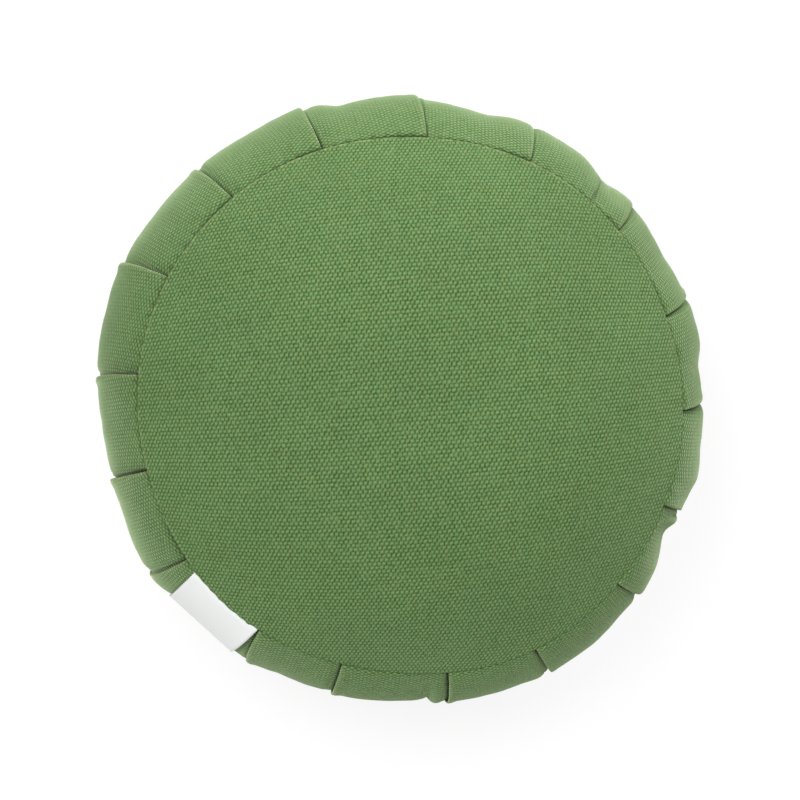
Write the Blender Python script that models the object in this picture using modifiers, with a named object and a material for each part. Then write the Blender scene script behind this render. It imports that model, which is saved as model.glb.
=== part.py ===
# Zafu meditation cushion: two round canvas panels, a side strip laid in knife pleats, a sewn-in label.
# Blender 4.5, metres, +Z up. It rests on Z = 0. Turns are degrees clockwise from +Y, seen from above.

import math
from collections import namedtuple

import bmesh
import bpy

MM = 0.001

# Driving sizes
widest_radius = 165 * MM
seam_radius = 143 * MM
seam_spacing = 96 * MM  # from the bottom seam straight up to the top one
bottom_seam_height = 22 * MM
crown_height = 42 * MM  # of the top panel above its seam
crown_power = 2.7  # how flat the crown's middle stays
rest_radius = 96 * MM  # the patch that the weight presses flat
foot_power = 1.7  # how fast the bottom panel turns up past that patch
canvas_thickness = 1.6 * MM
air = 0.3 * MM  # left between two pieces that touch
seam_depth = 2.6 * MM
label_width = 45 * MM
label_length = 60 * MM
label_thickness = 1 * MM
label_turn = 222.5  # of its middle at the widest line
label_lean = 1.0  # degrees further round at the seam
label_air = 0.5 * MM  # its flat facets cross the strip's, so it stands a little further off

# Pleats, as the fold and the stretch of strip after it
Pleat = namedtuple("Pleat", "turn lean lip step shoulder dip_at dip")
# turn: where the fold's edge crosses the widest line; lean: degrees further round at the top seam
# lip, shoulder, dip: millimetres outside the widest circle; step: from the lip down to the next stretch
# dip_at: share of the way to the next fold
pleats = [
    Pleat(2.6, 0.3, 0.4, 1.6, -1.8, 0.36, -3.9),
    Pleat(25.5, 0.1, -0.2, 1.5, 1.3, 0.68, -4.3),
    Pleat(49.2, 0.3, -1.0, 1.5, -2.1, 0.50, -3.5),
    Pleat(69.8, 0.6, -0.8, 1.5, 0.5, 0.66, -3.6),
    Pleat(90.3, 0.5, -2.4, 1.5, -1.0, 0.60, 0.9),
    Pleat(111.3, 0.0, -2.2, 1.5, -2.5, 0.28, -5.6),
    Pleat(129.0, 1.5, 2.1, 3.2, 1.6, 0.60, 3.2),
    Pleat(151.1, 1.5, 3.2, 3.0, 2.8, 0.55, 1.1),
    Pleat(171.7, 0.2, 0.8, 1.8, -0.6, 0.26, -4.4),
    Pleat(193.8, 1.1, -1.6, 2.2, -3.4, 0.60, -3.9),
    Pleat(211.3, 2.8, -1.0, 3.2, -3.8, 0.45, -5.0),
    Pleat(236.0, -0.3, 0.4, 2.2, 0.3, 0.72, -2.6),
    Pleat(254.9, 1.3, -1.8, 2.2, -3.4, 0.70, -2.4),
    Pleat(274.7, 1.7, 0.6, 1.8, 0.6, 0.48, 2.2),
    Pleat(296.2, 1.5, 4.4, 2.0, 3.2, 0.65, 2.6),
    Pleat(318.2, 0.7, 2.8, 1.8, 2.0, 0.50, 1.7),
    Pleat(340.6, -0.2, 2.6, 2.2, 1.0, 0.33, -2.1),
]
seam_lip = 1.4 * MM  # how proud a fold lies where the top or bottom seam catches it
seam_start = -0.6 * MM
nose_drop = 0.9 * MM  # the fold's rounded edge
crevice_drop = 0.9 * MM
tuck = 1.4 * MM  # how far the crevice runs back under the fold
shoulder_share = 0.12

# Mesh density
panel_columns = 68
side_rings = 13
label_columns = 8

# Worked out from the above
bulge = widest_radius - seam_radius
side_radius = ((seam_spacing / 2) ** 2 + bulge**2) / (2 * bulge)
side_centre = widest_radius - side_radius
seam_angle = math.acos(seam_spacing / 2 / side_radius)
widest_height = bottom_seam_height + seam_spacing / 2
top_seam_height = bottom_seam_height + seam_spacing


def mix(low, high, share):
    return low + (high - low) * share


def ease(share):
    share = min(max(share, 0.0), 1.0)
    return share * share * (3 - 2 * share)


def side_frame(angle):
    """Radius and height of the side at an angle from straight up, with its outward direction."""
    outward = (math.sin(angle), math.cos(angle))
    return (
        side_centre + side_radius * outward[0],
        widest_height + side_radius * outward[1],
        outward,
    )


def turned(radius, height, turn):
    return (radius * math.sin(turn), radius * math.cos(turn), height)


def stretch_level(here, after, share, fullness):
    """How far the strip stands out between two folds, a little after the first one."""
    shoulder = here.shoulder * MM * fullness
    dip = here.dip * MM * fullness
    lip = mix(seam_lip, after.lip * MM, fullness)
    if share < here.dip_at:
        return mix(shoulder, dip, ease((share - shoulder_share) / (here.dip_at - shoulder_share)))
    return mix(dip, lip, ease((share - here.dip_at) / (1 - here.dip_at)))


def leaning(turn, lean, angle):
    """Turn, in radians, at this height of the side, of a line that leans."""
    return math.radians(turn + lean * math.cos(angle) / math.cos(seam_angle))


def fold_turns(index, angle):
    """Turns of a pleat's fold and of the next one at this height of the side."""
    here = pleats[index]
    after = pleats[(index + 1) % len(pleats)]
    start = leaning(here.turn, here.lean, angle)
    end = leaning(after.turn, after.lean, angle)
    if end < start:
        end += 2 * math.pi
    return start, end


def fullness_at(angle):
    """0 at both seams, where the pleats are held flat, and 1 at the widest line."""
    return 1 - abs(math.cos(angle) / math.cos(seam_angle)) ** 1.6


def stretch_columns(index, angle, strength):
    """(turn, level) from one fold's crevice to the next fold's edge."""
    here = pleats[index]
    after = pleats[(index + 1) % len(pleats)]
    fullness = fullness_at(angle)
    start_turn, end_turn = fold_turns(index, angle)
    radius = side_frame(angle)[0]
    start = mix(seam_start, (here.lip - here.step) * MM, fullness)
    lip = mix(seam_lip, after.lip * MM, fullness)
    columns = [
        (start_turn - tuck * strength / radius, start - crevice_drop),
        (start_turn + 1.2 * MM / radius, start - 0.3 * MM),
        (start_turn + 4.5 * MM / radius, mix(start, here.shoulder * MM * fullness, 0.7)),
    ]
    shares = [
        mix(shoulder_share, here.dip_at, 0.5),
        here.dip_at,
        mix(here.dip_at, 1, 0.25),
        mix(here.dip_at, 1, 0.5),
        mix(here.dip_at, 1, 0.75),
    ]
    for share in shares:
        columns.append((mix(start_turn, end_turn, share), stretch_level(here, after, share, fullness)))
    columns += [
        (end_turn - 3.2 * MM / radius, mix(lip, stretch_level(here, after, 0.9, fullness), 0.15)),
        (end_turn - 0.9 * MM / radius, lip),
        (end_turn, lip - nose_drop),
    ]
    return [(turn, level * strength) for turn, level in columns]


def side_stations():
    """(angle, distance along from that angle, depth, pleat strength) of each ring, top seam to bottom."""
    into_seam = [
        (-0.4 * MM, seam_depth, 0.2),
        (0.4 * MM, 1.6 * MM, 0.35),
        (1.4 * MM, 0.5 * MM, 0.75),
    ]
    stations = [(seam_angle, along, depth, strength) for along, depth, strength in into_seam]
    first = seam_angle + 3.2 * MM / side_radius
    for ring in range(side_rings):
        stations.append((mix(first, math.pi - first, ring / (side_rings - 1)), 0, 0, 1))
    for along, depth, strength in reversed(into_seam):
        stations.append((math.pi - seam_angle, -along, depth, strength))
    return stations


def side_point(station, turn, level):
    angle, along, depth, _ = station
    radius, height, outward = side_frame(angle)
    reach = level - depth
    return turned(
        radius + along * outward[1] + reach * outward[0],
        height - along * outward[0] + reach * outward[1],
        turn,
    )


def crown_line(depth):
    """(radius, height above the seam) of the top panel from its middle out, sunk by depth."""
    points = []
    for radius in (0, 38 * MM, 66 * MM, 90 * MM, 110 * MM, 127 * MM):
        share = radius / seam_radius
        height = crown_height * (1 - share**crown_power)
        slope = crown_height * crown_power / seam_radius * share ** (crown_power - 1)
        length = math.hypot(1, slope)
        points.append((max(radius - depth * slope / length, 0), height - depth / length))
    points[0] = (0, crown_height - depth)
    return points


def foot_line(depth):
    """The same for the bottom panel, as heights below its seam."""
    points = [(0, bottom_seam_height - depth), (rest_radius, bottom_seam_height - depth)]
    for share in (0.25, 0.5, 0.75):
        radius = mix(rest_radius, seam_radius, share)
        height = bottom_seam_height * (1 - share**foot_power)
        slope = bottom_seam_height * foot_power / (seam_radius - rest_radius) * share ** (foot_power - 1)
        length = math.hypot(1, slope)
        points.append((radius - depth * slope / length, height - depth / length))
    return points


def seam_point(along, depth):
    """(radius, height above the seam) beside the top seam, along the cloth and into it."""
    outward = (math.sin(seam_angle), math.cos(seam_angle))
    return (
        seam_radius + along * outward[1] - depth * outward[0],
        -along * outward[0] - depth * outward[1],
    )


def panel_profile(face_line):
    """Closed round from the outer face's middle, over the rolled edge, to the inner face's middle."""
    rolled_edge = [
        seam_point(-3.2 * MM, 0),
        seam_point(-1.3 * MM, 0.45 * MM),
        seam_point(-0.3 * MM, 1.6 * MM),
        seam_point(-0.9 * MM, 2.1 * MM),
        seam_point(-3.0 * MM, canvas_thickness),
    ]
    inner_face = face_line(canvas_thickness)
    return face_line(0) + rolled_edge + inner_face[::-1]


def cloth_material(name, colour, roughness):
    """A plain Principled finish; colour is linear red, green and blue."""
    material = bpy.data.materials.new(name)
    material.use_nodes = True
    shader = material.node_tree.nodes["Principled BSDF"]
    shader.inputs["Base Color"].default_value = (*colour, 1)
    shader.inputs["Roughness"].default_value = roughness
    shader.inputs["Metallic"].default_value = 0
    material.diffuse_color = (*colour, 1)
    return material


def add_object(name, mesh, material, collection, parent):
    mesh.materials.append(material)
    piece = bpy.data.objects.new(name, mesh)
    collection.objects.link(piece)
    piece.parent = parent
    return piece


def add_panel(name, face_line, height, facing, material, collection, parent):
    """A disc turned from its profile; facing is 1 for the top one and -1 for the bottom one."""
    profile = panel_profile(face_line)
    if facing < 0:
        profile = profile[::-1]
    mesh = bpy.data.meshes.new(name)
    points = [(radius, 0, rise * facing) for radius, rise in profile]
    edges = [(place, place + 1) for place in range(len(points) - 1)]
    mesh.from_pydata(points, edges, [])
    panel = add_object(name, mesh, material, collection, parent)
    panel.location.z = height
    screw = panel.modifiers.new("turned", "SCREW")
    screw.axis = "Z"
    screw.steps = panel_columns
    screw.render_steps = panel_columns
    screw.use_merge_vertices = True
    screw.merge_threshold = 0.05 * MM
    return panel


def close_ring(bm, upper, lower):
    """A band of faces between two rings with as many points each."""
    count = len(upper)
    for place in range(count):
        after = (place + 1) % count
        bm.faces.new((upper[place], upper[after], lower[after], lower[place]))


def cap_side(bm, mouth, face_line, height, facing):
    """Closes the filled strip under a panel, a hair inside that panel's inner face."""
    below = canvas_thickness + air
    line = [seam_point(-3.0 * MM, below + 0.1 * MM)] + face_line(below)[:0:-1]
    rings = []
    for radius, rise in line:
        turns = (2 * math.pi * step / panel_columns for step in range(panel_columns))
        rings.append([bm.verts.new(turned(radius, height + rise * facing, turn)) for turn in turns])
    for upper, lower in zip(rings, rings[1:]):
        close_ring(bm, upper, lower)
    middle = bm.verts.new((0, 0, height + face_line(below)[0][1] * facing))
    inner = rings[-1]
    for place in range(panel_columns):
        bm.faces.new((inner[place], inner[(place + 1) % panel_columns], middle))
    rims = (mouth, rings[0])
    edges = [
        bm.edges.get((rim[place], rim[(place + 1) % len(rim)]))
        for rim in rims
        for place in range(len(rim))
    ]
    bmesh.ops.bridge_loops(bm, edges=edges)


def add_side_band(material, collection, parent):
    """The pleated strip and its filling, lofted ring by ring because no two rings are alike."""
    bm = bmesh.new()
    rings = []
    for station in side_stations():
        ring = []
        for index in range(len(pleats)):
            for turn, level in stretch_columns(index, station[0], station[3]):
                ring.append(bm.verts.new(side_point(station, turn, level)))
        rings.append(ring)
    for upper, lower in zip(rings, rings[1:]):
        close_ring(bm, upper, lower)
    cap_side(bm, rings[0], crown_line, top_seam_height, 1)
    cap_side(bm, rings[-1], foot_line, bottom_seam_height, -1)
    bmesh.ops.triangulate(bm, faces=bm.faces)
    bmesh.ops.recalc_face_normals(bm, faces=bm.faces)
    mesh = bpy.data.meshes.new("side_band")
    bm.to_mesh(mesh)
    bm.free()
    return add_object("side_band", mesh, material, collection, parent)


def label_stretch():
    """Index of the pleat after whose fold the label is sewn."""
    return max(index for index, pleat in enumerate(pleats) if pleat.turn < label_turn)


def label_level(turn, angle):
    """Where the strip's surface lies under the label."""
    index = label_stretch()
    start_turn, end_turn = fold_turns(index, angle)
    share = (turn - start_turn) / (end_turn - start_turn)
    after = pleats[(index + 1) % len(pleats)]
    return stretch_level(pleats[index], after, max(share, shoulder_share), fullness_at(angle))


def sheet_rim(rows):
    """The points round the edge of a grid of rows, in order."""
    right_side = [row[-1] for row in rows[1:-1]]
    left_side = [row[0] for row in rows[-2:0:-1]]
    return rows[0] + right_side + rows[-1][::-1] + left_side


def add_label(material, collection, parent):
    """A ribbon from the top seam down over the side, lying a little off it."""
    mouth = (seam_angle, 1.1 * MM, 0.35 * MM, 1)
    last_angle = seam_angle + label_length / side_radius
    on_side = [station for station in side_stations()[3:] if station[0] < last_angle - 0.03]
    stations = [mouth] + on_side + [(last_angle, 0, 0, 1)]
    bm = bmesh.new()
    sheets = []
    for lift in (label_air, label_air + label_thickness):
        sheet = []
        for station in stations:
            radius = side_frame(station[0])[0]
            row = []
            for column in range(label_columns + 1):
                across = mix(-label_width / 2, label_width / 2, column / label_columns)
                turn = leaning(label_turn, label_lean, station[0]) + across / radius
                level = label_level(turn, station[0]) + lift
                row.append(bm.verts.new(side_point(station, turn, level)))
            sheet.append(row)
        sheets.append(sheet)
    under, over = sheets
    for rows in sheets:
        for upper, lower in zip(rows, rows[1:]):
            for column in range(label_columns):
                bm.faces.new((upper[column], upper[column + 1], lower[column + 1], lower[column]))
    close_ring(bm, sheet_rim(under), sheet_rim(over))
    bmesh.ops.triangulate(bm, faces=bm.faces)
    bmesh.ops.recalc_face_normals(bm, faces=bm.faces)
    mesh = bpy.data.meshes.new("label")
    bm.to_mesh(mesh)
    bm.free()
    return add_object("label", mesh, material, collection, parent)


def build_zafu():
    for piece in list(bpy.data.objects):
        bpy.data.objects.remove(piece)
    collection = bpy.data.collections.new("zafu")
    bpy.context.scene.collection.children.link(collection)
    cushion = bpy.data.objects.new("cushion", None)
    collection.objects.link(cushion)
    green_canvas = cloth_material("green canvas", (0.141, 0.252, 0.091), 0.9)
    white_ribbon = cloth_material("white ribbon", (0.76, 0.80, 0.76), 0.6)
    add_side_band(green_canvas, collection, cushion)
    add_panel("top_panel", crown_line, top_seam_height, 1, green_canvas, collection, cushion)
    add_panel("bottom_panel", foot_line, bottom_seam_height, -1, green_canvas, collection, cushion)
    add_label(white_ribbon, collection, cushion)


build_zafu()
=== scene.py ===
import math

import bmesh
import bpy
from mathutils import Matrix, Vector, noise


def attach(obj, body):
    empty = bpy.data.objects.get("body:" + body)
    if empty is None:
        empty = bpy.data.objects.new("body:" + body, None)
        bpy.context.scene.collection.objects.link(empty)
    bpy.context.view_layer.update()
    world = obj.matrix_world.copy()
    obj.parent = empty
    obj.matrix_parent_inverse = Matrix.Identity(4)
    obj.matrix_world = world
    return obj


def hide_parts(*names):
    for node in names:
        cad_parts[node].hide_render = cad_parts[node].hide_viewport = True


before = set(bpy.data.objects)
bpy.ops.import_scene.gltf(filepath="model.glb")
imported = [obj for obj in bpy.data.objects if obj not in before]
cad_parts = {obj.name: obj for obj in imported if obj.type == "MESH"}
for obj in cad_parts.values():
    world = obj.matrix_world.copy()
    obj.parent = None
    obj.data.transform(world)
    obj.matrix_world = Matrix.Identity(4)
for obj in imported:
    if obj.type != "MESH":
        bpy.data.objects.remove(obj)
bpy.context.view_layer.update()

# Round meditation cushion: two canvas discs, a side strip in knife pleats, a ribbon sewn into the top seam.
# Lengths are millimetres until a mesh is made, +Z up, and turns go clockwise from +Y as seen from above.

mm = 0.001

cushion = {
    "widestRadius": 165,
    "seamRadius": 143,
    "seamSpacing": 96,  # bottom seam to top seam, straight up
    "bottomSeamHeight": 22,
    "crownHeight": 42,
    "crownPower": 2.7,  # how flat the middle of the crown stays
    "restRadius": 96,  # the patch that the weight presses flat
    "footPower": 1.7,
    "clothThickness": 0.9,
    "stitchPitch": 6.8,
    "stitchDepth": 0.22,
    "stitchUneven": 0.35,  # of a stitch
    "stitchChanges": 19,  # how often a hand's unevenness changes round the seam
    # how far the seam strays from a true circle: (times round, mm, turn of its peak)
    "seamStray": [(1, 0.6, 118), (2, 1.5, 114), (3, 0.4, 33), (4, 0.6, 45), (5, 0.3, 13), (6, 0.5, 36)],
    # where the label stiffens the seam: turn, degrees to each side, degrees of fade, how calm
    "labelSeam": (221.5, 12.0, 3, 0.96),
    # painted light along the seam: its painted highlight and painted groove shade are strong on the lit half,
    # faint on the other:
    # turn (radians) of the most, least, how sharply it changes
    "seamLitHalf": (-0.35, 0.15, 0.8),
}

halfSpacing = cushion["seamSpacing"] / 2
bulge = cushion["widestRadius"] - cushion["seamRadius"]
sideRadius = (halfSpacing**2 + bulge**2) / (2 * bulge)
sideCentre = cushion["widestRadius"] - sideRadius
seamAngle = math.acos(halfSpacing / sideRadius)  # from straight up
widestHeight = cushion["bottomSeamHeight"] + halfSpacing
topSeamHeight = cushion["bottomSeamHeight"] + cushion["seamSpacing"]


def mix(low, high, share):
    return low + (high - low) * share


def ease(share):
    share = min(max(share, 0.0), 1.0)
    return share * share * (3 - 2 * share)


def soft(x, y, z, across, up, seed):
    # smooth unevenness in -1..1, with its size across and upwards
    return noise.noise(Vector((x / across, y / across, z / up)) + Vector((seed, seed * 1.7, seed * 2.3)))


def spot(radius, height, turn):
    return Vector((radius * math.sin(turn), radius * math.cos(turn), height))


def alongSeam(turn, size, seed):
    # the same along the seam line, read just inside it
    reach = cushion["seamRadius"] - 3
    return soft(math.sin(turn) * reach, math.cos(turn) * reach, 0, size, 1, seed)


def degreesFrom(turn, middle):
    return (math.degrees(turn) - middle + 180) % 360 - 180


def seamStray(turn):
    waves = cushion["seamStray"]
    return sum(size * math.cos(times * (turn - math.radians(peak))) for times, size, peak in waves)


def stitchPull(turn):
    # 1 over a stitch and -1 between two, with a hand's unevenness
    along = turn * cushion["seamRadius"] / cushion["stitchPitch"]
    changes = cushion["stitchChanges"]
    place = Vector((math.sin(turn) * changes, math.cos(turn) * changes, 3.1))
    return math.cos(2 * math.pi * (along + cushion["stitchUneven"] * noise.noise(place)))


def besideLabel(turn):
    middle, half, fade = cushion["labelSeam"][:3]
    return ease((half - abs(degreesFrom(turn, middle))) / fade)


def seamFree(turn):
    # how freely a panel's edge waves: hardly at all where the label is sewn in
    return 1 - cushion["labelSeam"][3] * besideLabel(turn)


def litHalf(turn):
    # painted light: how strongly the seam's painted highlight and groove shade show at this turn, none beside
    # the label
    peak, least, change = cushion["seamLitHalf"]
    return mix(least, 1.0, ease(0.5 + change * math.cos(turn - peak))) * (1 - besideLabel(turn))


def fromHex(text):
    values = [int(text[place : place + 2], 16) / 255 for place in (1, 3, 5)]
    return [v / 12.92 if v <= 0.04045 else ((v + 0.055) / 1.055) ** 2.4 for v in values] + [1]


def addNode(tree, kind, inputs=None, **settings):
    # inputs are sockets to link from, or plain values, by name or place
    node = tree.nodes.new("ShaderNode" + kind)
    for name, value in settings.items():
        setattr(node, name, value)
    for key, value in (inputs or {}).items():
        if isinstance(value, bpy.types.NodeSocket):
            tree.links.new(value, node.inputs[key])
        else:
            node.inputs[key].default_value = value
    return node


def newMaterial(name):
    material = bpy.data.materials.new(name)
    material.use_nodes = True
    tree = material.node_tree
    return material, tree, tree.nodes["Principled BSDF"]


canvas = {
    "seedWarm": "#7C9761",  # top of a yarn where it floats over, at its yellowest
    "seedCool": "#749764",  # and at its bluest
    "gapShadeColour": "#385523",  # painted shade: the yarns' green darkened as it lies down between the yarns
    "fuzzHighlightColour": "#A3AE78",  # rubbed fibre ends on folded edges, and the painted highlight on the seam's rolled edge
    "fuzzHighlightShare": 0.6,
    "paintedShadeColour": "#0A1104",  # painted shade in folds, creases, the seam groove, puckers and needle holes
    "cell": (2.5, 4.43),  # mm from one yarn float to the next, across and along the warp, as in the photo
    "stripCell": (2.12, 3.85),
    "cellTall": 1.77,
    "yarnWander": 0.14,  # of a cell, off its straight row
    # the crossing yarns as waves, which lean with the yarns' twist: (times a cell across, along the warp,
    # share on a panel, share on the strip, how much of it goes where the cloth is drawn smooth)
    "waves": [
        (1, -1, 0.27, 0.28, 0.75),
        (1, 1, 0.167, 0.25, 0.75),
        (0, 2, 0.185, 0.1, 0.6),
        (2, 0, -0.08, -0.06, 0.75),
    ],
    "middleHeight": 0.53,  # between the gaps at 0 and the yarns' tops at 1
    "reliefDepth": 0.42,  # mm from gap to top
    "grainTone": 0.08,  # how much lighter or darker one grain is than the next
    "yarnTone": 0.045,
    "fibreTone": 0.3,
    "fibreRelief": 0.12,
    "drawnSmooth": 0.58,  # how much of the tones goes over the widest line
    "dyePatches": 16.0,  # a metre
    "dyeTone": 0.05,
    "roughness": (0.95, 0.82),  # of gap and top
    "sheen": (0.56, 0.4, "#E6FBCA"),  # weight, roughness and tint of the fuzz
}


def makeCanvas():
    # Piece-dyed cotton duck, plain weave with a fat warp: rows of round grains with painted shade between,
    # matt straight on and fuzzy at grazing light
    material, tree, shader = newMaterial("greenCottonDuck")
    weave = addNode(tree, "Attribute", attribute_name="weave").outputs["Vector"]
    paintedLightAndWear = addNode(tree, "Attribute", attribute_name="paintedLightAndWear").outputs["Vector"]
    rubAndHighlight, taut, shadeAmount = addNode(tree, "SeparateXYZ", {0: paintedLightAndWear}).outputs  # rubbed fibre and painted highlight, drawn smooth, painted shade
    drift = addNode(tree, "TexNoise", {"Vector": weave, "Scale": 0.55, "Detail": 2.0, "Roughness": 0.6})
    middle = (0.5, 0.5, 0.5)
    drift = addNode(tree, "VectorMath", {0: drift.outputs["Color"], 1: middle}, operation="SUBTRACT")
    wander = {0: drift.outputs[0], "Scale": canvas["yarnWander"]}
    drift = addNode(tree, "VectorMath", wander, operation="SCALE")
    place = addNode(tree, "VectorMath", {0: weave, 1: drift.outputs[0]}).outputs[0]
    place = addNode(tree, "VectorMath", {0: place, 1: (1, 1, 0)}, operation="MULTIPLY").outputs[0]
    tall = canvas["cellTall"]
    grains = []
    for shift in ((0.5, 0.5, 0), (0, 0, 0)):  # grains sit on the cell's corners and in its middle
        moved = addNode(tree, "VectorMath", {0: place, 1: shift}).outputs[0]
        whole = addNode(tree, "VectorMath", {0: moved}, operation="FLOOR").outputs[0]
        part = addNode(tree, "VectorMath", {0: moved, 1: whole}, operation="SUBTRACT").outputs[0]
        part = addNode(tree, "VectorMath", {0: part, 1: (0.5, 0.5, 0)}, operation="SUBTRACT").outputs[0]
        part = addNode(tree, "VectorMath", {0: part, 1: (1, tall, 0)}, operation="MULTIPLY").outputs[0]
        reach = addNode(tree, "VectorMath", {0: part}, operation="LENGTH").outputs["Value"]
        draw = addNode(tree, "VectorMath", {0: whole, 1: [s * 37 for s in shift]}).outputs[0]
        chance = addNode(tree, "TexWhiteNoise", {"Vector": draw}, noise_dimensions="3D").outputs["Color"]
        grains.append((reach, chance))
    (near, nearChance), (far, farChance) = grains
    second = addNode(tree, "Math", {0: near, 1: far}, operation="GREATER_THAN").outputs[0]
    nearest = {"Factor": second, 4: nearChance, 5: farChance}
    chance = addNode(tree, "Mix", nearest, data_type="VECTOR").outputs[1]
    chance = addNode(tree, "SeparateXYZ", {0: chance})
    height = canvas["middleHeight"]
    onStrip = addNode(tree, "SeparateXYZ", {0: weave}).outputs[2]
    for across, along, onPanel, onBand, fade in canvas["waves"]:
        wave = (2 * math.pi * across, 2 * math.pi * along, 0)
        wave = addNode(tree, "VectorMath", {0: place, 1: wave}, operation="DOT_PRODUCT").outputs["Value"]
        wave = addNode(tree, "Math", {0: wave}, operation="COSINE").outputs[0]
        kept = addNode(tree, "Math", {0: taut, 1: -fade, 2: 1.0}, operation="MULTIPLY_ADD").outputs[0]
        wave = addNode(tree, "Math", {0: wave, 1: kept}, operation="MULTIPLY").outputs[0]
        share = addNode(tree, "MapRange", {"Value": onStrip, "To Min": onPanel, "To Max": onBand}).outputs[0]
        height = addNode(tree, "Math", {0: wave, 1: share, 2: height}, operation="MULTIPLY_ADD").outputs[0]
    # warp and weft yarns each a little lighter or darker along their length
    tones = []
    for stretch in ((2.0, 0.10, 0), (0.10, 2.0, 0)):
        lines = addNode(tree, "VectorMath", {0: place, 1: stretch}, operation="MULTIPLY").outputs[0]
        lines = addNode(tree, "TexNoise", {"Vector": lines, "Scale": 1.0, "Detail": 1.0})
        tones.append(lines.outputs["Fac"])
    yarn = addNode(tree, "Math", {0: tones[0], 1: tones[1]}, operation="ADD").outputs[0]
    most = canvas["yarnTone"]
    spread = {"Value": yarn, "From Min": 0.7, "From Max": 1.3, "To Min": -most, "To Max": most}
    yarn = addNode(tree, "MapRange", spread).outputs[0]
    most = canvas["grainTone"]
    spread = {"Value": chance.outputs["X"], "To Min": -most, "To Max": most}
    grain = addNode(tree, "MapRange", spread).outputs[0]
    even = addNode(tree, "VectorMath", {0: place, 1: (1, tall, 1)}, operation="MULTIPLY").outputs[0]
    fibre = addNode(tree, "TexNoise", {"Vector": even, "Scale": 2.1, "Detail": 2.0, "Roughness": 0.6})
    spread = {"Value": fibre.outputs["Fac"], "From Min": 0.3, "From Max": 0.7, "To Min": -1, "To Max": 1}
    fibre = addNode(tree, "MapRange", spread).outputs[0]
    tone = addNode(tree, "Math", {0: grain, 1: yarn}, operation="ADD").outputs[0]
    share = canvas["fibreTone"]
    tone = addNode(tree, "Math", {0: fibre, 1: share, 2: tone}, operation="MULTIPLY_ADD").outputs[0]
    # the cloth is drawn smooth over the widest line, so its grain and the painted shade between its yarns
    # show less there
    share = -canvas["drawnSmooth"]
    relief = addNode(tree, "Math", {0: taut, 1: share, 2: 1.0}, operation="MULTIPLY_ADD").outputs[0]
    tone = addNode(tree, "Math", {0: tone, 1: relief, 2: height}, operation="MULTIPLY_ADD").outputs[0]
    hues = {"Factor": chance.outputs["Y"], 6: fromHex(canvas["seedWarm"]), 7: fromHex(canvas["seedCool"])}
    hue = addNode(tree, "Mix", hues, data_type="RGBA").outputs[2]
    # painted shade: the lower the weave lies, the nearer its colour comes to the gaps' darker green
    gapShade = fromHex(canvas["gapShadeColour"])
    colour = addNode(tree, "Mix", {"Factor": tone, 6: gapShade, 7: hue}, data_type="RGBA").outputs[2]
    # slow change of shade over a hand's width, as piece dyeing leaves
    patch = addNode(tree, "TexCoord").outputs["Object"]
    patch = addNode(tree, "TexNoise", {"Vector": patch, "Scale": canvas["dyePatches"], "Detail": 3.0})
    low, high = 1 - canvas["dyeTone"], 1 + canvas["dyeTone"]
    spread = {"Value": patch.outputs["Fac"], "From Min": 0.3, "From Max": 0.7, "To Min": low, "To Max": high}
    patch = addNode(tree, "MapRange", spread).outputs[0]
    dyed = {"Factor": 1.0, 6: colour, 7: patch}
    colour = addNode(tree, "Mix", dyed, data_type="RGBA", blend_type="MULTIPLY").outputs[2]
    # painted shade in folds, creases, the seam groove, puckers and needle holes
    dark = fromHex(canvas["paintedShadeColour"])
    colour = addNode(tree, "Mix", {"Factor": shadeAmount, 6: colour, 7: dark}, data_type="RGBA").outputs[2]
    # painted highlight along the seam's rolled edge, and rubbed fibre on the fold noses, in one light colour
    fuzzHighlight, share = fromHex(canvas["fuzzHighlightColour"]), canvas["fuzzHighlightShare"]
    rubbedAndLit = addNode(tree, "Math", {0: rubAndHighlight, 1: share}, operation="MULTIPLY", use_clamp=True).outputs[0]
    colour = addNode(tree, "Mix", {"Factor": rubbedAndLit, 6: colour, 7: fuzzHighlight}, data_type="RGBA").outputs[2]
    share = canvas["fibreRelief"]
    bumps = addNode(tree, "Math", {0: fibre, 1: share, 2: height}, operation="MULTIPLY_ADD").outputs[0]
    bump = addNode(tree, "Bump", {"Height": bumps, "Strength": 0.8, "Distance": canvas["reliefDepth"] * mm})
    inGap, onTop = canvas["roughness"]
    rough = addNode(tree, "MapRange", {"Value": height, "To Min": inGap, "To Max": onTop})
    tree.links.new(colour, shader.inputs["Base Color"])
    tree.links.new(rough.outputs[0], shader.inputs["Roughness"])
    tree.links.new(bump.outputs[0], shader.inputs["Normal"])
    shader.inputs["IOR"].default_value = 1.5
    shader.inputs["Specular IOR Level"].default_value = 0.1  # dry fibre ends hardly shine
    weight, roughness, tint = canvas["sheen"]
    shader.inputs["Sheen Weight"].default_value = weight
    shader.inputs["Sheen Roughness"].default_value = roughness
    shader.inputs["Sheen Tint"].default_value = fromHex(tint)
    return material


satin = {
    "white": ("#F1F4F2", "#F9FBF9"),  # between the ribs and on them
    "ribScale": 0.5,  # gives a rib each 0.63 mm
    "ribDepth": 0.08,  # mm
    "roughness": 0.5,
    "specular": 0.4,
}


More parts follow.
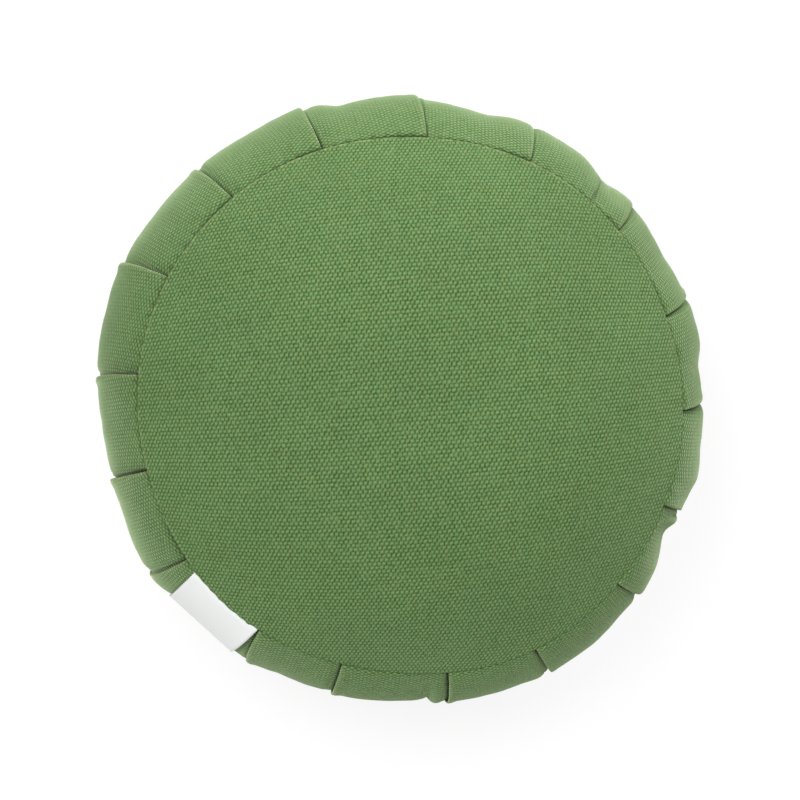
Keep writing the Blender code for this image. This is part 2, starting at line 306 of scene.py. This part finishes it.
def makeRibbon():
    # Polyester satin ribbon, woven: white, a faint rib across and a low soft shine
    material, tree, shader = newMaterial("whiteSatinRibbon")
    weave = addNode(tree, "Attribute", attribute_name="weave").outputs["Vector"]
    ribs = {"Vector": weave, "Scale": satin["ribScale"], "Distortion": 0.4, "Detail": 1.0}
    rib = addNode(tree, "TexWave", ribs, bands_direction="Y").outputs["Fac"]
    low, high = (fromHex(white) for white in satin["white"])
    colour = addNode(tree, "Mix", {"Factor": rib, 6: low, 7: high}, data_type="RGBA").outputs[2]
    bump = addNode(tree, "Bump", {"Height": rib, "Strength": 0.25, "Distance": satin["ribDepth"] * mm})
    tree.links.new(colour, shader.inputs["Base Color"])
    tree.links.new(bump.outputs[0], shader.inputs["Normal"])
    shader.inputs["Roughness"].default_value = satin["roughness"]
    shader.inputs["Specular IOR Level"].default_value = satin["specular"]
    return material


def closeRing(bm, upper, lower):
    for place in range(len(upper)):
        after = (place + 1) % len(upper)
        bm.faces.new((upper[place], upper[after], lower[after], lower[place]))


def keepPiece(bm, name, material):
    for vert in bm.verts:
        vert.co *= mm
    for face in bm.faces:
        face.smooth = True
    mesh = bpy.data.meshes.new(name)
    bm.to_mesh(mesh)
    bm.free()
    mesh.materials.append(material)
    piece = bpy.data.objects.new(name, mesh)
    bpy.context.scene.collection.objects.link(piece)
    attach(piece, "root")
    print(name, len(mesh.vertices), "points", len(mesh.polygons), "faces")
    return piece


# the two round panels
panels = {
    "rings": 99,  # of the outer face; each ring has 8 points more than the one inside it
    "innerRings": 33,
    "swell": (0.7, 62),  # slow unevenness of the crown: mm high, mm across
    "ripple": (0.22, 17),
    "edgeWave": (0.35, 9),  # of the sewn edge
    # the edge's roll into the seam: (mm along the cloth from the seam, mm down into it)
    "roll": [(-1.2, 0.0), (-0.6, 0.01), (-0.38, 0.06), (-0.27, 0.2), (-0.25, 0.7), (-0.3, 1.5), (-0.8, 2.3)],
    "rollStart": 2.2,  # mm short of the seam
    "litRidge": (0.06, 0.2),  # painted highlight along the rolled edge, in the rubbed fibres' colour: mm down the roll, half its width
    "litRidgeBreaks": 2.6,  # mm from one break in it to the next
    # painted shade down in the seam groove
    "grooveShade": 0.3,
    "clothStretch": 0.114,  # the flat cut is this much larger at the seam than the circle it is sewn to
    "rowSlant": 0.0755,  # weft rows rise this much per mm across
}


def crownHeight(radius):
    share = radius / cushion["seamRadius"]
    power = cushion["crownPower"]
    slope = cushion["crownHeight"] * power / cushion["seamRadius"] * share ** (power - 1)
    return cushion["crownHeight"] * (1 - share**power), slope


def footDepth(radius):
    if radius < cushion["restRadius"]:
        return cushion["bottomSeamHeight"], 0.0
    span = cushion["seamRadius"] - cushion["restRadius"]
    share = (radius - cushion["restRadius"]) / span
    power = cushion["footPower"]
    slope = cushion["bottomSeamHeight"] * power / span * share ** (power - 1)
    return cushion["bottomSeamHeight"] * (1 - share**power), slope


def besideSeam(along, depth):
    # radius and height above the seam of a point beside it
    return (
        cushion["seamRadius"] + along * math.cos(seamAngle) - depth * math.sin(seamAngle),
        -along * math.sin(seamAngle) - depth * math.cos(seamAngle),
    )


def edgeWave(turn, facing):
    deep, across = panels["edgeWave"]
    return deep * alongSeam(turn, across, 2.0 * facing)


def panelSpot(line, facing, radius, turn, depth=0.0):
    # a point of a panel's face, sunk by depth under it
    rise, slope = line(radius)
    fromSeam = cushion["seamRadius"] - radius
    x, y = radius * math.sin(turn), radius * math.cos(turn)
    free = 1.0 if facing > 0 else ease((radius - cushion["restRadius"]) / 20)  # the resting patch stays flat
    deep, across = panels["swell"]
    rise += deep * free * soft(x, y, 0, across, 1, 4.0 * facing) * ease(fromSeam / 30)
    deep, across = panels["ripple"]
    rise += deep * free * soft(x, y, 0, across, 1, 9.0 * facing)
    rise -= cushion["stitchDepth"] * stitchPull(turn) * math.exp(-fromSeam / 5) * seamFree(turn)
    rise += edgeWave(turn, facing) * math.exp(-fromSeam / 14) * seamFree(turn)
    tilt = math.hypot(1, slope)
    stray = seamStray(turn) * math.exp(-((fromSeam / 26) ** 2))
    return radius + stray - depth * slope / tilt, (rise - depth / tilt) * facing


def clothPlace(radius, turn, extra=0.0):
    # where a point lies on the flat cut, in weave cells; a disc sewn over a crown is cut larger than it looks
    share = radius / cushion["seamRadius"]
    flat = radius * (1 + panels["clothStretch"] * share**3) + extra
    x, y = flat * math.sin(turn), flat * math.cos(turn)
    return Vector((x / canvas["cell"][0], (y - panels["rowSlant"] * x) / canvas["cell"][1], 0))


def gridFace(bm, weaveLayer, rings, reach, place):
    # a square grid drawn in to a disc, so its cells stay about one size; place(radius, turn) gives the point
    made = bmesh.ops.create_grid(bm, x_segments=2 * rings, y_segments=2 * rings, size=rings)["verts"]
    rim = []
    for vert in made:
        i, j = round(vert.co.x), round(vert.co.y)
        ring = max(abs(i), abs(j))
        if ring == 0:
            turn = 0.0
        else:
            if j == ring:
                step = i
            elif i == ring:
                step = 2 * ring - j
            elif j == -ring:
                step = 4 * ring - i
            else:
                step = 6 * ring + j
            turn = 2 * math.pi * (step % (8 * ring)) / (8 * ring)
        radius = reach * ring / rings
        vert.co = place(radius, turn)
        vert[weaveLayer] = clothPlace(radius, turn)
        if ring == rings:
            rim.append((turn, vert))
    return [vert for turn, vert in sorted(rim, key=lambda pair: pair[0])]


def addPanel(name, line, height, facing, material):
    bm = bmesh.new()
    weaveLayer = bm.verts.layers.float_vector.new("weave")
    paintedLightAndWearLayer = bm.verts.layers.float_vector.new("paintedLightAndWear")
    reach = cushion["seamRadius"] - panels["rollStart"] * math.cos(seamAngle)

    def onFace(radius, turn):
        radius, rise = panelSpot(line, facing, radius, turn)
        return spot(radius, height + rise, turn)

    def underFace(radius, turn):
        radius, rise = panelSpot(line, facing, radius, turn, cushion["clothThickness"])
        return spot(radius, height + rise, turn)

    rim = gridFace(bm, weaveLayer, panels["rings"], reach, onFace)
    count = len(rim)
    turns = [2 * math.pi * step / count for step in range(count)]
    edge = rim
    run = 0.0
    before = (-panels["rollStart"], 0.0)
    ridgeDepth, ridgeHalf = panels["litRidge"]
    for along, depth in panels["roll"]:
        run += math.dist(before, (along, depth))
        before = (along, depth)
        loose = max(0, 1 - depth / 1.2)
        ring = []
        for turn in turns:
            radius, rise = besideSeam(along, depth)
            radius += seamStray(turn)
            wave = edgeWave(turn, facing) - cushion["stitchDepth"] * stitchPull(turn)
            rise += wave * loose * seamFree(turn)
            vert = bm.verts.new(spot(radius, height + rise * facing, turn))
            vert[weaveLayer] = clothPlace(reach, turn, run)
            # painted highlight on the rolled edge and painted shade down in the groove, both stronger on the
            # lit half
            litRidge = math.exp(-(((depth - ridgeDepth) / ridgeHalf) ** 2)) * (1.0 if along > -1 else 0.3)
            broken = ease(0.6 + 1.3 * alongSeam(turn, panels["litRidgeBreaks"], 31.0))
            grooveShading = panels["grooveShade"] * mix(0.4, 1, litHalf(turn)) * ease((depth - 0.4) / 0.5)
            vert[paintedLightAndWearLayer] = (litRidge * litHalf(turn) * broken, 0, grooveShading)
            ring.append(vert)
        closeRing(bm, edge, ring)
        edge = ring
    inner = gridFace(bm, weaveLayer, panels["innerRings"], reach - 1.5, underFace)
    share = count // len(inner)
    for place in range(len(inner)):
        near, far = inner[place], inner[(place + 1) % len(inner)]
        row = [edge[(place * share + step) % count] for step in range(share + 1)]
        bm.faces.new((near, row[0], row[1]))
        bm.faces.new((near, row[1], row[2], far))
        bm.faces.new((far, row[2], row[3]))
    bmesh.ops.recalc_face_normals(bm, faces=bm.faces)
    return keepPiece(bm, name, material)


# the side strip
strip = {
    # one row per fold, and the stretch of strip after it:
    # turn, lean at the top seam, lip, how far its last 7 mm turn up, step down,
    # where the shoulder ends, shoulder, where it dips, dip; degrees and mm off the widest circle
    "pleats": [
        (1.7, 1.2, 0.4, 0.2, 1.6, 0.08, -2.2, 0.62, -4.3),
        (24.0, 1.6, -0.5, 0.0, 1.5, 0.45, -0.2, 0.75, -4.2),
        (48.4, 1.1, -1.0, 0.0, 1.5, 0.12, -2.4, 0.58, -3.9),
        (68.6, 1.8, -0.8, 1.1, 1.5, 0.45, -0.4, 0.68, -3.9),
        (88.7, 2.1, -2.4, 0.5, 1.5, 0.36, -1.6, 0.70, 0.9),
        (111.3, 0.0, -2.8, 0.0, 1.5, 0.10, -2.3, 0.29, -7.7),
        (128.3, 2.2, 2.1, 0.4, 2.6, 0.12, 1.3, 0.60, 3.2),
        (150.9, 1.7, 3.2, 0.4, 2.0, 0.12, 2.8, 0.30, 1.9),
        (171.8, 0.1, 0.9, 0.8, 1.8, 0.13, 0.1, 0.25, -3.2),
        (193.8, 1.1, -1.6, 0.8, 2.2, 0.12, -3.2, 0.62, -4.0),
        (210.8, 3.3, -1.0, 0.8, 1.6, 0.16, -2.9, 0.70, -4.8),
        (236.0, -0.3, 0.4, 0.0, 1.4, 0.10, -0.1, 0.78, -2.8),
        (255.2, 1.0, -1.6, 0.8, 2.2, 0.12, -3.1, 0.55, -2.5),
        (274.5, 1.9, 1.1, 1.3, 1.8, 0.12, 1.2, 0.55, 2.1),
        (296.0, 1.7, 4.7, 0.9, 2.0, 0.12, 3.1, 0.45, 2.5),
        (317.8, 1.1, 3.0, 0.7, 1.8, 0.12, 2.3, 0.60, 1.7),
        (340.3, 0.1, 2.6, 0.2, 2.2, 0.10, 0.9, 0.34, -2.3),
    ],
    "lag": 0.1,  # how long a dip lasts before the strip rises to the next fold
    "seamLip": 1.4,  # how proud a fold lies at a seam
    "seamStart": -0.6,
    "foldRadius": 0.8,  # two layers of canvas bent round
    "notch": 2.4,  # depth of the dark gutter beside a fold, where it gapes by 1
    "gape": [0.45, 0.4, 0.3, 0.8, 0.9, 0.4, 0.45, 1.2, 1.1, 0.5, 0.3, 0.5, 1.3, 1.5, 1.4, 1.1, 0.8],
    # the gutter: (mm past the fold, share of its depth, painted shade at a seam, painted shade at the widest
    # line)
    "gutter": [
        (-3.6, 1.05, 0.9, 0.9),
        (-2.1, 1.1, 0.9, 0.9),
        (-0.7, 1.1, 0.85, 0.85),
        (0.2, 1.0, 0.9, 0.7),
        (0.7, 0.75, 0.7, 0.35),
        (1.15, 0.42, 0.25, 0.05),
        (1.6, 0.18, 0.06, 0),
        (2.3, 0.04, 0, 0),
        (3.3, 0, 0, 0),
    ],
    # pinched in the cloth, with no fold: turn, mm deep at the seam and at the widest line, mm wide, painted
    # shade in it
    "creases": [(41.2, 1.2, 0.4, 0.8, 0.7), (175.6, 0.3, 4.0, 2.6, 0.0)],
    # where the seam pulls the strip under: turn, degrees to each side, mm deep
    "puckers": [(239.5, 5.0, 1.3), (79.0, 2.2, 0.8)],
    "puckerShade": 0.4,  # painted shade in a pucker, for each mm
    # how smooth the weave is drawn at the widest line, and the fullness where that starts and takes to end
    "taut": (0.95, 0.3, 0.65),
    # unevenness of the stuffing and of the sewn edge: (mm high, mm across, mm up)
    "lumps": [(0.5, 30, 34), (0.2, 8, 45)],
    "edgeWave": (0.5, 7.5),
    "stitchDepth": 0.3,
    "stitchShade": (0.45, 0.9, 0.9),  # painted shade in the needle holes: how dark, mm down from the seam, half their length
    # painted shade down in the seam groove
    "grooveShade": 0.34,
    "columnSpacing": 1.75,
    "ringSpacing": 1.35,
    # the filling's lid under a panel: (radius, mm under the cloth) of each ring
    "capRings": [(139.5, 1.9), (120, 1.0), (98, 1.0), (74, 1.0), (48, 1.0), (22, 1.0)],
    "capSides": 68,
    # the edge's roll into the seam: (mm along from the seam, mm down, how much of the pleats' relief is left)
    "roll": [
        (-0.6, 2.75, 0.15),
        (0.0, 2.3, 0.25),
        (0.08, 1.4, 0.4),
        (0.08, 0.75, 0.55),
        (0.1, 0.32, 0.7),
        (0.22, 0.11, 0.8),
        (0.7, 0.02, 0.88),
        (1.9, 0.0, 0.97),
    ],
}
pleats = strip["pleats"]


def sideLine(angle):
    return sideCentre + sideRadius * math.sin(angle), widestHeight + sideRadius * math.cos(angle)


def foldTurns(index, angle):
    # turns of a fold and of the next one at this height of the side
    lean = math.cos(angle) / math.cos(seamAngle)
    start = math.radians(pleats[index][0] + pleats[index][1] * lean)
    after = pleats[(index + 1) % len(pleats)]
    end = math.radians(after[0] + after[1] * lean)
    return start, end if end > start else end + 2 * math.pi


def fullness(angle):
    # 0 at the seams, where the pleats are held flat, and 1 at the widest line
    return 1 - abs(math.cos(angle) / math.cos(seamAngle)) ** 1.6


def stretchLevel(index, share, full):
    hold, shoulder, dipAt, dip = pleats[index][5:]
    lip, ear = pleats[(index + 1) % len(pleats)][2:4]
    nextLip = mix(strip["seamLip"], lip - ear, full)
    if share < dipAt:
        return mix(shoulder * full, dip * full, ease((share - hold) / (dipAt - hold)))
    past = min((share - dipAt) / (1 - dipAt), 1.0)
    past = (1 + strip["lag"]) * past * past / (past + strip["lag"])
    return mix(dip * full, nextLip, past * (2 - past))


def stretchRow(index, angle):
    # the strip at this height, from under one fold round the edge of the next:
    # (mm past the first fold, level, rubbed fibre, painted shade)
    after = (index + 1) % len(pleats)
    lip, ear, step = pleats[index][2:5]
    full = fullness(angle)
    startTurn, endTurn = foldTurns(index, angle)
    radius = sideLine(angle)[0]
    width = (endTurn - startTurn) * radius
    start = mix(strip["seamStart"], lip - step, full)
    end = mix(strip["seamLip"], pleats[after][2], full)
    gape = strip["gape"][index]
    notch = strip["notch"] * gape * (0.3 + 0.7 * abs(math.cos(angle) / math.cos(seamAngle)))
    shade = mix(0.4, 1.0, min(gape, 1.0))  # a gutter that gapes gets more painted shade
    row = []
    # painted shade along the gutter beside a fold
    for past, share, seamShade, wideShade in strip["gutter"]:
        row.append((past, start - notch * share, 0, mix(seamShade, wideShade, full) * shade))
    wide = math.radians(pleats[after][0] - pleats[index][0]) % (2 * math.pi)
    count = round(wide * cushion["widestRadius"] / strip["columnSpacing"]) - 5
    places = [mix(4.0, width - 3.6, column / count) for column in range(count + 1)]
    pinches = []
    for turn, seamDepth, wideDepth, reach, dark in strip["creases"]:
        pinch = (math.radians(turn) - startTurn) * radius
        if index == max(place for place, pleat in enumerate(pleats) if pleat[0] < turn):
            pinches.append((pinch, mix(seamDepth, wideDepth, full), reach, dark * (1 - full) ** 2))
            places += [pinch + off * reach for off in (-1.6, -0.9, -0.4, 0, 0.4, 0.9, 1.6)]
    for along in sorted(places):
        level = stretchLevel(index, along / width, full)
        level = mix(start, level, ease((along - 1.0) / 6.5))
        level = mix(end, level, ease((width - along - 1.5) / 5.0) * 0.85 + 0.15)
        shadeAmount = 0
        # painted shade in a crease
        for pinch, depth, reach, dark in pinches:
            close = math.exp(-abs((along - pinch) / reach) ** 1.4)
            level -= depth * close
            shadeAmount = max(shadeAmount, dark * close)
        row.append((along, level, 0, shadeAmount))
    row.append((width - 2.5, end, 0.05, 0))
    row.append((width - 1.6, end, 0.12, 0))
    bend = strip["foldRadius"]
    for bent in (70, 45, 20, -5, -35, -65):  # degrees round the fold, from its top to under it
        out, down = math.cos(math.radians(bent)), 1 - math.sin(math.radians(bent))
        # rubbed fibre over the fold's top, painted shade under it
        rubAndHighlight, shadeAmount = (0.35 if bent > 0 else 0.1), (0.5 if bent < -10 else 0)
        row.append((width - bend * (1 - out), end - bend * down, rubAndHighlight, shadeAmount))
    # painted shade under the fold's lip
    row.append((width - 1.5, end - 2 * bend - 0.02, 0, 0.8))
    row.append((width - 2.6, end - 2 * bend - 0.1, 0, 0.8))
    return row, startTurn, width


def stripStations():
    # (angle, mm along, mm down, relief left) of each ring, top seam to bottom seam
    stations = [(seamAngle, along, depth, relief) for along, depth, relief in strip["roll"]]
    first = seamAngle + 3.3 / sideRadius
    count = round((math.pi - 2 * first) * sideRadius / strip["ringSpacing"])
    stations += [(mix(first, math.pi - first, ring / count), 0, 0, 1) for ring in range(count + 1)]
    for along, depth, relief in reversed(strip["roll"]):
        stations.append((math.pi - seamAngle, -along, depth, relief))
    return stations


def pucker(turn, fromTop):
    deep = 0.0
    for middle, half, depth in strip["puckers"]:
        deep += depth * ease(1.4 - abs(degreesFrom(turn, middle)) / half) * math.exp(-((fromTop / 2.2) ** 2))
    return deep


def stripRelief(x, y, z, turn, fromTop, fromBottom):
    # what stuffing and sewing leave on a filled strip, in mm
    fromSeam = min(fromTop, fromBottom)
    full = ease(fromSeam / 25)
    level = 0.0
    for (deep, across, up), seed in zip(strip["lumps"], (5.0, 11.0)):
        level += deep * full * soft(x, y, z, across, up, seed)
    deep, across = strip["edgeWave"]
    level += deep * soft(x, y, 0, across, 1, 17.0 if fromTop < fromBottom else 23.0) * math.exp(-fromSeam / 9)
    level -= strip["stitchDepth"] * stitchPull(turn) * math.exp(-fromSeam / 3.5)
    return level - pucker(turn, fromTop)


def stripSpot(station, turn, level, relief=True):
    angle, along, depth, left = station
    radius, height = sideLine(angle)
    fromTop = (angle - seamAngle) * sideRadius + along
    fromBottom = (math.pi - seamAngle - angle) * sideRadius - along
    reach = level * left - depth
    if relief:
        at = spot(radius, height, turn)
        reach += left * stripRelief(at.x, at.y, at.z, turn, max(fromTop, 0), max(fromBottom, 0))
    outward, upward = math.sin(angle), math.cos(angle)
    radius += seamStray(turn) * (math.exp(-((fromTop / 20) ** 2)) + math.exp(-((fromBottom / 20) ** 2)))
    return spot(radius + along * upward + reach * outward, height - along * outward + reach * upward, turn)


def capStrip(bm, mouth, line, height, facing):
    # closes the filling under a panel
    sides = strip["capSides"]
    rings = []
    for radius, below in strip["capRings"]:
        ring = []
        for step in range(sides):
            turn = 2 * math.pi * step / sides
            at, rise = panelSpot(line, facing, radius, turn, cushion["clothThickness"] + below)
            ring.append(bm.verts.new(spot(at, height + rise, turn)))
        rings.append(ring)
    for upper, lower in zip(rings, rings[1:]):
        closeRing(bm, upper, lower)
    middle = bm.verts.new((0, 0, height + (line(0)[0] - cushion["clothThickness"] - below) * facing))
    for step in range(sides):
        bm.faces.new((rings[-1][step], rings[-1][(step + 1) % sides], middle))
    edges = []
    for rim in (mouth, rings[0]):
        edges += [bm.edges.get((rim[step], rim[(step + 1) % len(rim)])) for step in range(len(rim))]
    bmesh.ops.bridge_loops(bm, edges=edges)


def addStrip(material):
    bm = bmesh.new()
    weaveLayer = bm.verts.layers.float_vector.new("weave")
    paintedLightAndWearLayer = bm.verts.layers.float_vector.new("paintedLightAndWear")
    acrossCell, alongCell = canvas["stripCell"]
    stitchShade, stitchMiddle, stitchHalf = strip["stitchShade"]
    tautMost, tautFrom, tautOver = strip["taut"]
    rings = []
    for station in stripStations():
        angle, along, depth, left = station
        radius = sideLine(angle)[0]
        down = (angle - seamAngle) * sideRadius + along - depth
        taut = tautMost * ease((fullness(angle) - tautFrom) / tautOver)
        # painted shade in the needle holes by the seam
        needle = stitchShade * math.exp(-(((down - stitchMiddle) / stitchHalf) ** 2))
        ring = []
        for index in range(len(pleats)):
            row, startTurn, width = stretchRow(index, angle)
            for past, level, rubAndHighlight, shadeAmount in row:
                turn = startTurn + past / radius
                vert = bm.verts.new(stripSpot(station, turn, level))
                across = (past - width / 2) / alongCell + 40 * index  # each stretch begins anew in the weave
                vert[weaveLayer] = Vector((down / acrossCell, across, 1))
                # painted shade: the seam groove and needle holes, stronger on the lit half, and the folds,
                # creases and puckers
                grooveShading = strip["grooveShade"] * ease((depth - 0.5) / 0.8) * mix(0.5, 1, litHalf(turn))
                stitch = needle * litHalf(turn) * ease((stitchPull(turn) - 0.1) / 0.7)
                dark = max(shadeAmount * left, grooveShading, stitch, strip["puckerShade"] * pucker(turn, down))
                vert[paintedLightAndWearLayer] = (rubAndHighlight * left, taut, dark)
                ring.append(vert)
        rings.append(ring)
    for upper, lower in zip(rings, rings[1:]):
        closeRing(bm, upper, lower)
    capStrip(bm, rings[0], crownHeight, topSeamHeight, 1)
    capStrip(bm, rings[-1], footDepth, cushion["bottomSeamHeight"], -1)
    bmesh.ops.recalc_face_normals(bm, faces=bm.faces)
    return keepPiece(bm, "pleatedStrip", material)


# the ribbon label
ribbon = {
    "width": 45,
    "length": 60,
    "thickness": 0.4,
    "turn": 222.5,  # of its middle at the widest line
    "lean": 1.0,
    "lift": 0.35,
    "stiffFrom": 0.35,  # how full the side is where it first spans its width in a straight line
    "columns": 30,
    "rows": 44,
    "sewnIn": [(0.1, 2.4, 0.3), (0.1, 1.4, 0.6), (0.2, 0.6, 0.9), (0.7, 0.25, 1)],  # as the strip's roll
    "freeFrom": 2.2,  # mm along from the seam
}


def addLabel(material):
    bm = bmesh.new()
    weaveLayer = bm.verts.layers.float_vector.new("weave")
    index = max(place for place, pleat in enumerate(pleats) if pleat[0] < ribbon["turn"])
    stations = [(seamAngle, *row) for row in ribbon["sewnIn"]]
    for row in range(ribbon["rows"] + 1):
        down = mix(ribbon["freeFrom"], ribbon["length"], row / ribbon["rows"])
        stations.append((seamAngle + down / sideRadius, 0, 0, 1))
    sheets = []
    for lift in (ribbon["lift"], ribbon["lift"] + ribbon["thickness"]):
        sheet = []
        for station in stations:
            radius = sideLine(station[0])[0]
            full = fullness(station[0])
            lean = ribbon["lean"] * math.cos(station[0]) / math.cos(seamAngle)
            middle = math.radians(ribbon["turn"] + lean)
            start, end = foldTurns(index, station[0])
            offsets = [
                mix(-ribbon["width"] / 2, ribbon["width"] / 2, column / ribbon["columns"]) / radius
                for column in range(ribbon["columns"] + 1)
            ]
            levels = []
            for offset in offsets:
                share = (middle + offset - start) / (end - start)
                levels.append(stretchLevel(index, share, full))
            # the ribbon is stiff, so away from the seam it spans its width in a straight line
            chord = max((radius + level) * math.cos(offset) for level, offset in zip(levels, offsets))
            stiff = ease(full / ribbon["stiffFrom"])
            row = []
            for level, offset in zip(levels, offsets):
                level = mix(level, chord / math.cos(offset) - radius, stiff) + lift
                vert = bm.verts.new(stripSpot(station, middle + offset, level, relief=False))
                vert[weaveLayer] = Vector((offset * radius, (station[0] - seamAngle) * sideRadius, 0))
                row.append(vert)
            sheet.append(row)
        sheets.append(sheet)
    under, over = sheets
    for rows in sheets:
        for upper, lower in zip(rows, rows[1:]):
            for column in range(ribbon["columns"]):
                bm.faces.new((upper[column], upper[column + 1], lower[column + 1], lower[column]))
    rims = []
    for rows in (under, over):
        right, left = [row[-1] for row in rows[1:-1]], [row[0] for row in rows[-2:0:-1]]
        rims.append(rows[0] + right + rows[-1][::-1] + left)
    closeRing(bm, *rims)
    bmesh.ops.recalc_face_normals(bm, faces=bm.faces)
    return keepPiece(bm, "ribbonLabel", material)


greenCanvas = makeCanvas()
whiteRibbon = makeRibbon()
print("canvas and ribbon made")

topPanel = addPanel("topPanel", crownHeight, topSeamHeight, 1, greenCanvas)
bottomPanel = addPanel("bottomPanel", footDepth, cushion["bottomSeamHeight"], -1, greenCanvas)
pleatedStrip = addStrip(greenCanvas)
label = addLabel(whiteRibbon)

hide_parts("top_panel")
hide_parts("bottom_panel")
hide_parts("side_band")
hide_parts("label")

# floor, light, camera
studio = {
    "viewFrom": (-5.44, 2.74),  # degrees that the camera leans right and up; here it leans to the left
    "distance": 1.5,
    "aim": (0, 0, 0.07),
    "lens": 124.7,
    "shift": (-0.004, 0.002),
    "floorSize": 8,
    "world": 0.05,
    "floorWhite": 0.15,
    "floorGlow": 0.87,  # lit from below too, so its shadow nearly goes
    "boxDistance": 4,
    # name, turn, degrees up, size, power
    "softboxes": [
        ("keySoftbox", -45, 59, 2.2, 134),
        ("secondSoftbox", 40, 64, 2.2, 34),
        ("rimSoftbox", 27, 9, 2.2, 122),
        ("fillSoftbox", 176, 21, 2.2, 58),
    ],
}

bpy.ops.mesh.primitive_plane_add(size=studio["floorSize"])
floor = bpy.context.object
floor.name = "floor"
paper, tree, shader = newMaterial("whitePaperSweep")
shader.inputs["Base Color"].default_value = (*[studio["floorWhite"]] * 3, 1)
shader.inputs["Emission Color"].default_value = (1, 1, 1, 1)
shader.inputs["Emission Strength"].default_value = studio["floorGlow"]
shader.inputs["Roughness"].default_value = 0.9
shader.inputs["Specular IOR Level"].default_value = 0.1
floor.data.materials.append(paper)
floor.location.z = -0.0005

world = bpy.data.worlds.new("softWhiteRoom")
world.use_nodes = True
world.node_tree.nodes["Background"].inputs["Color"].default_value = (1, 1, 1, 1)
world.node_tree.nodes["Background"].inputs["Strength"].default_value = studio["world"]
bpy.context.scene.world = world

for name, turn, rise, size, power in studio["softboxes"]:
    turn, rise = math.radians(turn), math.radians(rise)
    toLight = Vector((math.cos(rise) * math.sin(turn), math.cos(rise) * math.cos(turn), math.sin(rise)))
    light = bpy.data.lights.new(name, "AREA")
    light.shape = "DISK"
    light.size = size
    light.energy = power
    box = bpy.data.objects.new(name, light)
    box.location = Vector(studio["aim"]) + toLight * studio["boxDistance"]
    box.rotation_euler = toLight.to_track_quat("Z", "Y").to_euler()
    bpy.context.scene.collection.objects.link(box)

camera = bpy.data.objects.new("camera", bpy.data.cameras.new("camera"))
bpy.context.scene.collection.objects.link(camera)
bpy.context.scene.camera = camera
aim = Vector(studio["aim"])
toCamera = Vector((*(math.tan(math.radians(lean)) for lean in studio["viewFrom"]), 1)).normalized()
right = (Vector((1, 0, 0)) - toCamera * toCamera.x).normalized()
up = toCamera.cross(right)
camera.location = aim + toCamera * studio["distance"]
turned = camera.matrix_world.copy()
for column, axis in enumerate((right, up, toCamera)):
    for row in range(3):
        turned[row][column] = axis[row]
turned.translation = camera.location
camera.matrix_world = turned
camera.data.lens = studio["lens"]
camera.data.sensor_width = 36
camera.data.shift_x, camera.data.shift_y = studio["shift"]
bpy.context.scene.view_settings.view_transform = "Standard"

print("floor, lights and camera placed")
